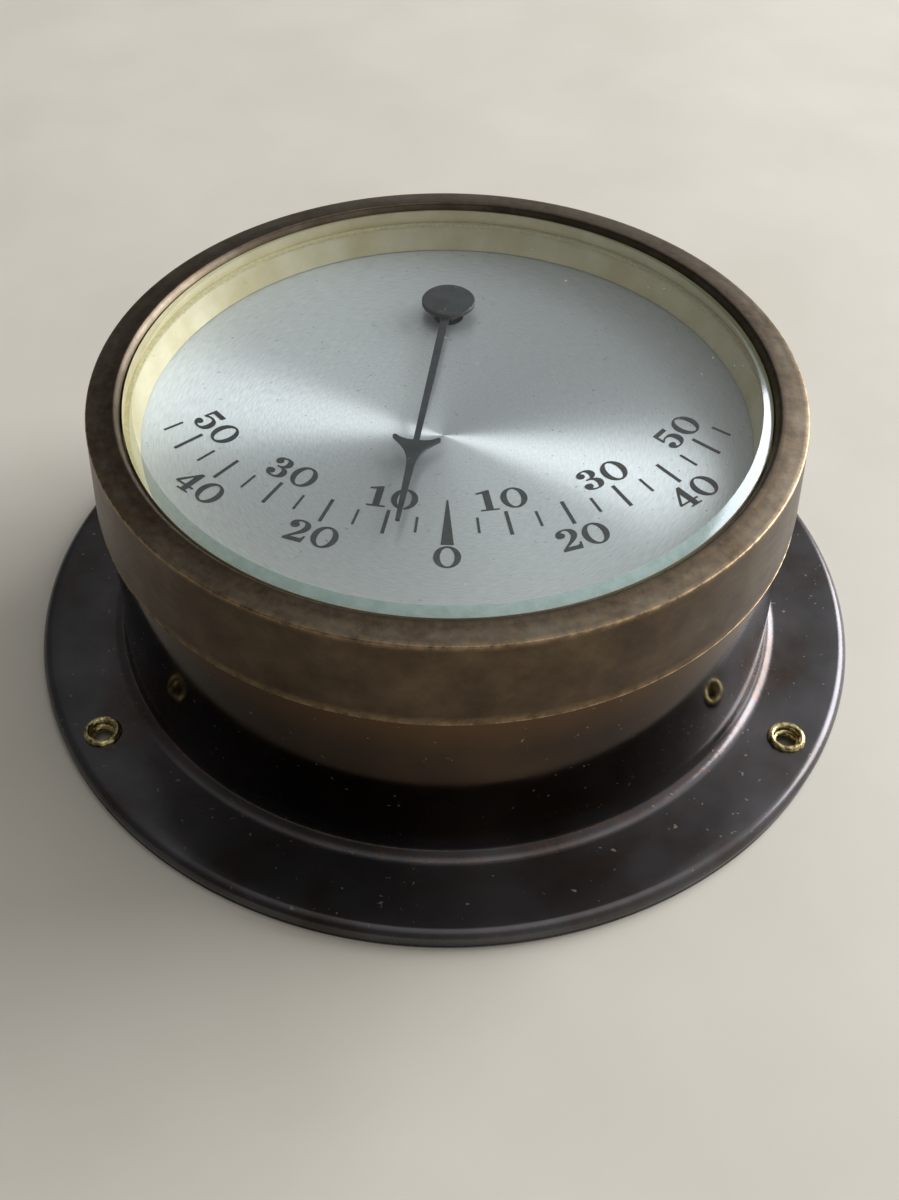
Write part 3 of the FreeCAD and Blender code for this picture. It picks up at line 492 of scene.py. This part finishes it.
def drilled(piece):
    """Cuts the fixing holes through the flange."""
    cutters = bpy.data.meshes.new("drills")
    build = bmesh.new()
    for k in range(HOLE_COUNT):
        angle = math.radians(90 + 360 * k / HOLE_COUNT)
        at = Vector((HOLE_CIRCLE_R * math.cos(angle), HOLE_CIRCLE_R * math.sin(angle), FLANGE_TOP)) * MM
        radius = (EYELET_BORE_R + EYELET_WALL - EYELET_FIT) * MM
        bmesh.ops.create_cone(build, cap_ends=True, segments=48, radius1=radius, radius2=radius,
                              depth=DRILL_LENGTH * MM, matrix=Matrix.Translation(at))
    build.to_mesh(cutters)
    build.free()
    drill = bpy.data.objects.new("drills", cutters)
    bpy.context.scene.collection.objects.link(drill)
    cut = piece.modifiers.new("holes", "BOOLEAN")
    cut.operation = "DIFFERENCE"
    cut.solver = "EXACT"
    cut.object = drill
    evaluated = piece.evaluated_get(bpy.context.evaluated_depsgraph_get())
    mesh = bpy.data.meshes.new_from_object(evaluated)
    piece.modifiers.remove(cut)
    piece.data = mesh
    bpy.data.objects.remove(drill)
    return piece


def bezel_finish(material):
    """Turned bezel with softly broken edges."""
    low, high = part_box("bezel_ring")
    foot_r, foot_z, face_z = high.x / MM, low.z / MM, high.z / MM
    seat_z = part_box("reflector_ring")[1].z / MM
    lip_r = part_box("glass")[1].x / MM + GLASS_GAP
    bore = wall_radius(foot_z) + THREAD_GAP
    return turned_piece("bezel_ring_finish", [
        (foot_r, foot_z, 0.12, 0.9), (foot_r - 0.07, foot_z + 1.8, 0, 0.0),
        (BEZEL_R_TOP, BEZEL_EDGE_Z - 1.0, 0, 0.0), (BEZEL_R_TOP, BEZEL_EDGE_Z, 0.34, 0.95),
        (BEZEL_R_TOP - 0.9, BEZEL_EDGE_Z + 0.15, 0, 0.12), (BEZEL_FACE_R + 0.8, face_z - 0.14, 0, 0.12),
        (BEZEL_FACE_R, face_z, 0.4, 0.12), (lip_r, face_z - BEZEL_LIP_DEPTH, 0.1, 0.1),
        (lip_r, seat_z, 0, 0), (bore, seat_z, 0, 0), (bore, foot_z, 0, 0),
    ], [material])


def glass_finish(clear, ground, edge):
    """Thick glass: clear faces, a ground bevel and a side in the gilt material, a painted reflection of the gilt
    ring.
    """
    low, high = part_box("glass")
    radius, bottom, top = high.x / MM, low.z / MM, high.z / MM

    def band(r, z):
        """Index of the material at a radius and a height."""
        # Painted reflection: the side of the glass takes the gilt material
        if r > radius - FILM:
            return 2
        return 1 if r > GLASS_BEVEL_R and z > bottom + 0.01 else 0

    return turned_piece("glass_plate", [
        (0, bottom + FILM, 0, 0), (radius, bottom + FILM, 0, 0), (radius, top - GLASS_BEVEL_DROP, 0.08, 0),
        (GLASS_BEVEL_R, top, 0.08, 0), (0, top, 0, 0),
    ], [clear, ground, edge], band, closed=False)


def gasket_finish(material):
    """Bedding ring under the edge of the glass."""
    low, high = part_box("glass_gasket")
    outer, bottom, top = high.x / MM, low.z / MM, high.z / MM
    return turned_piece("bedding_ring", [
        (outer - GASKET_WIDTH, bottom + FILM, 0, 0), (outer, bottom + FILM, 0, 0), (outer, top, 0, 0),
        (outer - GASKET_WIDTH, top, 0, 0),
    ], [material])


def reflector_finish(material):
    """Gilt funnel with its clamped flange."""
    low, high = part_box("reflector_ring")
    foot_z, top_z = low.z / MM, high.z / MM
    rest_r = wall_radius(top_z - REFLECTOR_SHEET)
    return turned_piece("gilt_funnel", [
        (REFLECTOR_R_DIAL, foot_z, 0.1, 0), (REFLECTOR_R_DIAL + REFLECTOR_SHEET, foot_z, 0, 0),
        (REFLECTOR_R_GLASS + REFLECTOR_SHEET, top_z - REFLECTOR_SHEET, 0, 0),
        (rest_r, top_z - REFLECTOR_SHEET, 0, 0), (rest_r, top_z, 0, 0), (REFLECTOR_R_GLASS, top_z, 0.1, 0),
    ], [material])


def cover_finish(material):
    """Pressed back cover."""
    low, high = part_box("back_cover")
    outer, back, front = high.x / MM, low.z / MM, high.z / MM
    return turned_piece("back_cover_finish", [
        (0, back, 0, 0), (outer, back, COVER_SHEET, 0.4), (outer, front, 0.1, 0),
        (outer - COVER_SHEET, front, 0.1, 0), (outer - COVER_SHEET, back + COVER_SHEET, 0, 0),
        (0, back + COVER_SHEET, 0, 0),
    ], [material], closed=False)


def nodes_piece(name, build_tree):
    """Runs a Geometry Nodes tree on an empty mesh and keeps the realised result as a plain mesh."""
    holder = bpy.data.objects.new(name + "_source", bpy.data.meshes.new(name + "_source"))
    bpy.context.scene.collection.objects.link(holder)
    group = bpy.data.node_groups.new(name, "GeometryNodeTree")
    group.interface.new_socket("Geometry", in_out="OUTPUT", socket_type="NodeSocketGeometry")
    result = build_tree(group)
    output = group.nodes.new("NodeGroupOutput")
    group.links.new(result, output.inputs[0])
    modifier = holder.modifiers.new(name, "NODES")
    modifier.node_group = group
    evaluated = holder.evaluated_get(bpy.context.evaluated_depsgraph_get())
    mesh = bpy.data.meshes.new_from_object(evaluated)
    mesh.name = name
    holder.modifiers.remove(modifier)
    bpy.data.objects.remove(holder)
    piece = bpy.data.objects.new(name, mesh)
    bpy.context.scene.collection.objects.link(piece)
    return piece


def rolled_lip(group, ring_mm, tube_mm, level, squash):
    """Torus of a ring and a tube radius, at a level in metres and squashed along the axis."""
    ring = add(group, "GeometryNodeCurvePrimitiveCircle", {"Resolution": 72, "Radius": ring_mm * MM})
    tube = add(group, "GeometryNodeCurvePrimitiveCircle", {"Resolution": 18, "Radius": tube_mm * MM})
    lip = add(group, "GeometryNodeCurveToMesh", {}, {"Curve": ring.outputs["Curve"],
                                                    "Profile Curve": tube.outputs["Curve"]})
    return add(group, "GeometryNodeTransform", {"Translation": (0, 0, level), "Scale": (1, 1, squash)},
               {"Geometry": lip.outputs["Mesh"]})


def eyelet_tree(material):
    """Three hollow rivets on the hole circle: a sleeve with a lip rolled over each face, slightly uneven."""
    def build(group):
        """Nodes of the rivets."""
        low = (FLANGE_TOP - SHEET) * MM
        high = FLANGE_TOP * MM
        upper = rolled_lip(group, EYELET_BORE_R + 0.33, 0.62, high + 0.02 * MM, 1.15)
        lower = rolled_lip(group, 2.2, 0.9, low - 0.02 * MM, 0.78)
        sleeve_ring = add(group, "GeometryNodeCurvePrimitiveCircle",
                          {"Resolution": 72, "Radius": (EYELET_BORE_R + 0.5 * EYELET_WALL) * MM})
        wall = add(group, "GeometryNodeCurvePrimitiveQuadrilateral",
                   {"Width": EYELET_WALL * MM * 0.9, "Height": high - low})
        sleeve = add(group, "GeometryNodeCurveToMesh", {}, {"Curve": sleeve_ring.outputs["Curve"],
                                                           "Profile Curve": wall.outputs["Curve"]})
        sleeve = add(group, "GeometryNodeTransform", {"Translation": (0, 0, 0.5 * (low + high))},
                     {"Geometry": sleeve.outputs["Mesh"]})
        joined = add(group, "GeometryNodeJoinGeometry")
        for part in (upper, lower, sleeve):
            group.links.new(part.outputs["Geometry"], joined.inputs["Geometry"])
        circle = add(group, "GeometryNodeMeshCircle", {"Vertices": HOLE_COUNT, "Radius": HOLE_CIRCLE_R * MM})
        circle = add(group, "GeometryNodeTransform", {"Rotation": (0, 0, math.radians(90))},
                     {"Geometry": circle.outputs["Mesh"]})
        placed = add(group, "GeometryNodeInstanceOnPoints", {}, {"Points": circle.outputs["Geometry"],
                                                                "Instance": joined.outputs["Geometry"]})
        real = add(group, "GeometryNodeRealizeInstances", {}, {"Geometry": placed.outputs["Instances"]})
        where = add(group, "GeometryNodeInputPosition")
        noise = add(group, "ShaderNodeTexNoise", {"Scale": 1 / (EYELET_WANDER_LENGTH * MM), "Detail": 3.0},
                    {"Vector": where.outputs["Position"]})
        centred = add(group, "ShaderNodeVectorMath", {"operation": "SUBTRACT", 1: (0.5, 0.5, 0.5)},
                      {0: noise.outputs["Color"]})
        push = add(group, "ShaderNodeVectorMath", {"operation": "MULTIPLY", 1: [v * MM for v in EYELET_WANDER]},
                   {0: centred.outputs["Vector"]})
        uneven = add(group, "GeometryNodeSetPosition", {}, {"Geometry": real.outputs["Geometry"],
                                                            "Offset": push.outputs["Vector"]})
        smooth = add(group, "GeometryNodeSetShadeSmooth", {}, {"Geometry": uneven.outputs["Geometry"]})
        finish = add(group, "GeometryNodeSetMaterial", {"Material": material},
                     {"Geometry": smooth.outputs["Geometry"]})
        return finish.outputs["Geometry"]
    return build


def dressed(name, material):
    """Gives a CAD node its material."""
    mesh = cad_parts[name].data
    mesh.materials.clear()
    mesh.materials.append(material)


brass_dark = oxidised_brass()
brass_bronzed = bronzed_brass()
# Rolled brass: bright straw mottled with brown
brass_eyelet = plain_metal("eyelet_brass_pale", "#e6d9a2", "#75643f", 0.2, 0.36, 0.16)
# Machined brass: clean yellow satin
brass_movement = plain_metal("movement_brass_machined", "#cdb072", "#b0925a", 0.26, 0.4)
# Bearing bronze: redder satin
bronze = plain_metal("bush_bronze_machined", "#b98a5c", "#9c7048", 0.26, 0.4)
# Blued steel: a dark grey glint in the middle of the hub
steel_blued = plain_metal("steel_blued", "#5c6064", "#45484c", 0.3, 0.42)
# Brass darkened as painted shade: the collet under the hub
brass_painted_shade = plain_metal("brass_darkened_painted_shade", "#6d6144", "#544a33", 0.36, 0.5)
# Turned steel: cool grey satin
steel = plain_metal("steel_turned", "#b4b6b6", "#9a9c9d", 0.22, 0.36)
gilt = gilt_brass()
silvered = silvered_dial()
ink = dial_ink()
black_steel = blackened_steel()
rubber = bedding_rubber()
glass_clear = clear_glass()
glass_ground = ground_glass()

NODE_MATERIALS = {
    "dial_plate": silvered, "scale_ticks": ink, "zero_mark": ink, "scale_numerals": ink,
    "dial_feet": brass_movement, "dial_foot_nuts": brass_movement, "movement_plate": brass_movement,
    "case_lugs": brass_movement, "plate_screws": steel, "front_bush": bronze, "rear_bush": bronze,
    "rear_bridge": brass_movement, "bridge_pillars": brass_movement, "pillar_screws": steel,
    "bridge_screws": steel, "stop_pins": steel, "arbor": steel_blued, "pointer_blade": black_steel,
    "pointer_collet": brass_painted_shade, "pointer_hub": black_steel, "pendulum_clamp": brass_movement,
    "clamp_screw": steel, "pendulum_rod": steel, "pendulum_bob": brass_movement, "bob_screw": steel,
}
for node_name, node_material in NODE_MATERIALS.items():
    dressed(node_name, node_material)

FINISHES = [
    ("case_shell", case_finish(brass_dark), "oxidised_brass"),
    ("bezel_ring", bezel_finish(brass_bronzed), "bronzed_brass"),
    ("glass", glass_finish(glass_clear, glass_ground, gilt), "glass"),
    ("glass_gasket", gasket_finish(rubber), "rubber"),
    ("reflector_ring", reflector_finish(gilt), "gilt_brass"),
    ("back_cover", cover_finish(brass_dark), "oxidised_brass"),
    ("mounting_eyelets", nodes_piece("eyelets_rolled", eyelet_tree(brass_eyelet)), "eyelet_brass"),
]
for node_name, piece, slot_name in FINISHES:
    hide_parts(node_name)
    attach(piece, "case")


def area_light(name, towards, distance, width, height, watts, colour):
    """Soft rectangular light that faces the dial from a direction."""
    lamp = bpy.data.lights.new(name, "AREA")
    lamp.shape = "RECTANGLE"
    lamp.size, lamp.size_y = width, height
    lamp.energy = watts
    lamp.color = linear(colour)[:3]
    holder = bpy.data.objects.new(name, lamp)
    direction = Vector(towards).normalized()
    holder.location = direction * distance
    holder.rotation_euler = direction.to_track_quat("Z", "Y").to_euler()
    bpy.context.scene.collection.objects.link(holder)


def room_light():
    """World: a dim room, darker towards the viewer, brighter towards the window side and overhead."""
    world = bpy.data.worlds.new("room")
    world.use_nodes = True
    world.node_tree.nodes.clear()
    where = add(world, "ShaderNodeTexCoord").outputs["Generated"]
    split = add(world, "ShaderNodeSeparateXYZ", links={"Vector": where})
    x, y, z = (split.outputs[axis] for axis in "XYZ")
    window_side = between(world, x, -0.35, 0.7, 0.0, ROOM_WINDOW_SIDE)
    overhead = maths(world, "MULTIPLY", between(world, z, 0.72, 0.96, 0.0, ROOM_OVERHEAD),
                     between(world, x, -0.2, 0.3, 0.3, 1.0))
    viewer = between(world, y, 0.0, -0.6, 1.0, ROOM_VIEWER_SHARE)
    low = maths(world, "MULTIPLY", maths(world, "ADD", window_side, ROOM_DIM), viewer)
    total = maths(world, "ADD", low, overhead)
    back = add(world, "ShaderNodeBackground", {"Color": linear("#f3f2f0")}, {"Strength": total})
    add(world, "ShaderNodeOutputWorld", links={"Surface": back.outputs["Background"]})
    return world


def studio():
    """Pale floor, soft room light and one large window behind to the right."""
    floor_mesh = bpy.data.meshes.new("floor")
    half = FLOOR_HALF * MM
    corners = [(-half, -half, 0), (half, -half, 0), (half, half, 0), (-half, half, 0)]
    floor_mesh.from_pydata(corners, [], [(0, 1, 2, 3)])
    floor = bpy.data.objects.new("floor", floor_mesh)
    floor_mesh.materials.append(floor_tile())
    bpy.context.scene.collection.objects.link(floor)
    area_light("window", WINDOW_TOWARDS, WINDOW_DISTANCE, WINDOW_WIDTH, WINDOW_HEIGHT, WINDOW_WATTS, "#fbfcff")
    bpy.context.scene.world = room_light()
    bpy.context.scene.view_settings.view_transform = "Standard"


def camera():
    """Viewpoint of the photo."""
    lens = bpy.data.cameras.new("camera")
    lens.lens = CAMERA_LENS
    lens.clip_start = 0.01
    eye = bpy.data.objects.new("camera", lens)
    back = Vector((0, -math.cos(CAMERA_DOWN), math.sin(CAMERA_DOWN)))
    up = Vector((0, math.sin(CAMERA_DOWN), math.cos(CAMERA_DOWN)))
    right = Vector((1, 0, 0))
    c, s = math.cos(CAMERA_ROLL), math.sin(CAMERA_ROLL)
    axes = Matrix((c * right - s * up, s * right + c * up, back)).transposed()
    turn = Matrix.Rotation(CAMERA_ROUND, 3, "Z")
    eye.matrix_world = Matrix.Translation(turn @ CAMERA_AT) @ (turn @ axes).to_4x4()
    bpy.context.scene.collection.objects.link(eye)
    bpy.context.scene.camera = eye


studio()
camera()
